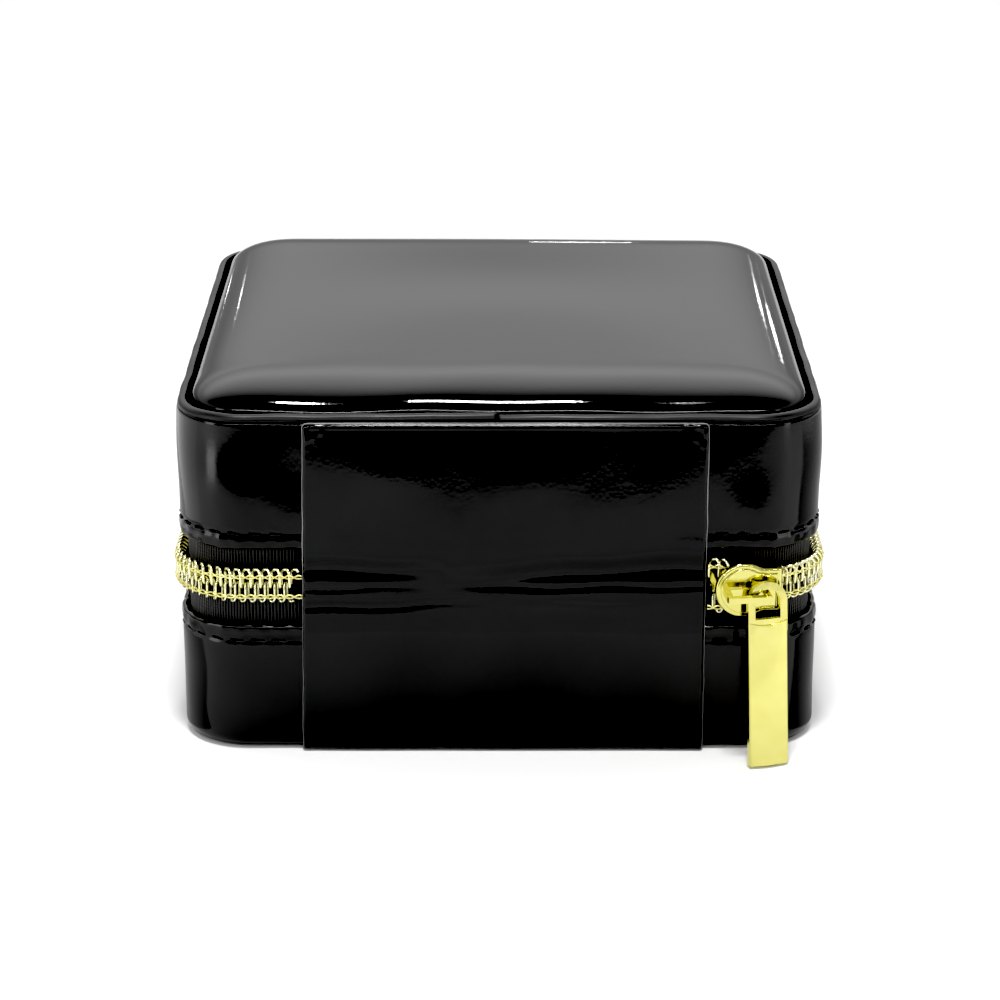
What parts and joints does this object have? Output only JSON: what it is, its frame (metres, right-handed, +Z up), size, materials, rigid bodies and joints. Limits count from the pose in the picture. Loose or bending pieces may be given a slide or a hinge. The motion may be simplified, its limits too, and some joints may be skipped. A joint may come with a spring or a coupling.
{
  "type": "leather jewellery case",
  "caption": "Square zip-round travel jewellery case in leather, with a padded hinged lid, ring rolls and two compartments.",
  "frame": {"origin": "centre of the underside, on the surface the case stands on", "axes": "+Z up; the opening front faces -Y and the hinge panel is on the back, +Y; +X to the right seen from the front"},
  "size_m": [0.102, 0.1089, 0.0596],
  "materials": {
    "patent_leather": "black patent, glossy, faintly pebbled",
    "cushion_leather": "black patent over foam, glossy",
    "rim_binding": "black turned edge, satin",
    "hinge_leather": "black patent, creased at the fold",
    "bottom_cover": "black grained sheet",
    "grey_board": "grey board, matte",
    "velvet": "black velvet",
    "velvet_roll": "black velvet over sponge",
    "foam": "polyurethane foam",
    "pocket_satin": "black satin",
    "tab_leather": "black leather, satin",
    "snap_brass": "polished gilt",
    "gilt_metal": "light gold plate, polished",
    "zip_tape": "black woven polyester tape",
    "gilt_coil": "metallised gold coil"
  },
  "bodies": {
    "base": {"base_leather_wrap": "patent_leather", "base_bottom_cover": "bottom_cover", "base_board_frame": "grey_board", "base_velvet_wall": "velvet", "base_floor_lining": "velvet", "divider_main": "velvet", "divider_cross": "velvet", "ring_roll_1": "velvet_roll", "ring_roll_2": "velvet_roll", "ring_roll_3": "velvet_roll", "ring_roll_4": "velvet_roll", "ring_roll_5": "velvet_roll", "hinge_panel_lower": "hinge_leather", "hinge_panel_flex": "hinge_leather", "zip_tape_lower": "zip_tape", "zip_tape_lower_slider_corner": "zip_tape", "zip_coil_lower": "gilt_coil", "zip_coil_lower_slider_corner": "gilt_coil", "zip_coil_lower_open_end": "gilt_coil"},
    "lid": {"lid_leather_wrap": "patent_leather", "lid_rim_binding": "rim_binding", "lid_board_frame": "grey_board", "lid_velvet_wall": "velvet", "lid_cushion_cover": "cushion_leather", "lid_cushion_foam": "foam", "lid_inner_pad": "velvet", "lid_pocket": "pocket_satin", "lid_pocket_elastic": "pocket_satin", "necklace_strip": "tab_leather", "snap_stud_1": "snap_brass", "snap_stud_2": "snap_brass", "snap_stud_3": "snap_brass", "hinge_panel_upper": "hinge_leather", "zip_tape_upper": "zip_tape", "zip_tape_upper_slider_corner": "zip_tape", "zip_tape_upper_far_corner": "zip_tape", "zip_coil_upper": "gilt_coil", "zip_coil_upper_slider_corner": "gilt_coil", "zip_coil_upper_far_corner": "gilt_coil", "zip_coil_upper_open_end": "gilt_coil"},
    "slider": {"slider_body": "gilt_metal", "slider_bail": "gilt_metal"},
    "pull": {"zip_pull": "gilt_metal"},
    "tab_1": {"necklace_tab_1": "tab_leather", "snap_cap_1": "snap_brass"},
    "tab_2": {"necklace_tab_2": "tab_leather", "snap_cap_2": "snap_brass"},
    "tab_3": {"necklace_tab_3": "tab_leather", "snap_cap_3": "snap_brass"}
  },
  "joints": [
    {"name": "lid_hinge", "type": "hinge", "parent": "base", "child": "lid", "pos_m": [0, 0.051, 0.0275], "axis": [-1, 0, 0], "range_deg": [0, 110], "deforming": ["hinge_panel_flex", "zip_tape_upper_slider_corner", "zip_tape_upper_far_corner", "zip_coil_upper_slider_corner", "zip_coil_upper_far_corner", "zip_coil_upper_open_end"]},
    {"name": "zip_slider", "type": "hinge", "parent": "base", "child": "slider", "pos_m": [-0.039, 0.039, 0.0275], "axis": [0, 0, 1], "range_deg": [0, 75], "deforming": ["zip_tape_lower_slider_corner", "zip_coil_lower_slider_corner", "zip_coil_lower_open_end"]},
    {"name": "pull_swing", "type": "hinge", "parent": "slider", "child": "pull", "pos_m": [-0.04095, 0.05395, 0.0275], "axis": [-0.1219, 0.9925, 0], "range_deg": [-30, 90]},
    {"name": "necklace_tab_1", "type": "hinge", "parent": "lid", "child": "tab_1", "pos_m": [-0.024, -0.037, 0.0476], "axis": [-1, 0, 0], "range_deg": [0, 80]},
    {"name": "necklace_tab_2", "type": "hinge", "parent": "lid", "child": "tab_2", "pos_m": [0, -0.037, 0.0476], "axis": [-1, 0, 0], "range_deg": [0, 80]},
    {"name": "necklace_tab_3", "type": "hinge", "parent": "lid", "child": "tab_3", "pos_m": [0.024, -0.037, 0.0476], "axis": [-1, 0, 0], "range_deg": [0, 80]}
  ]
}
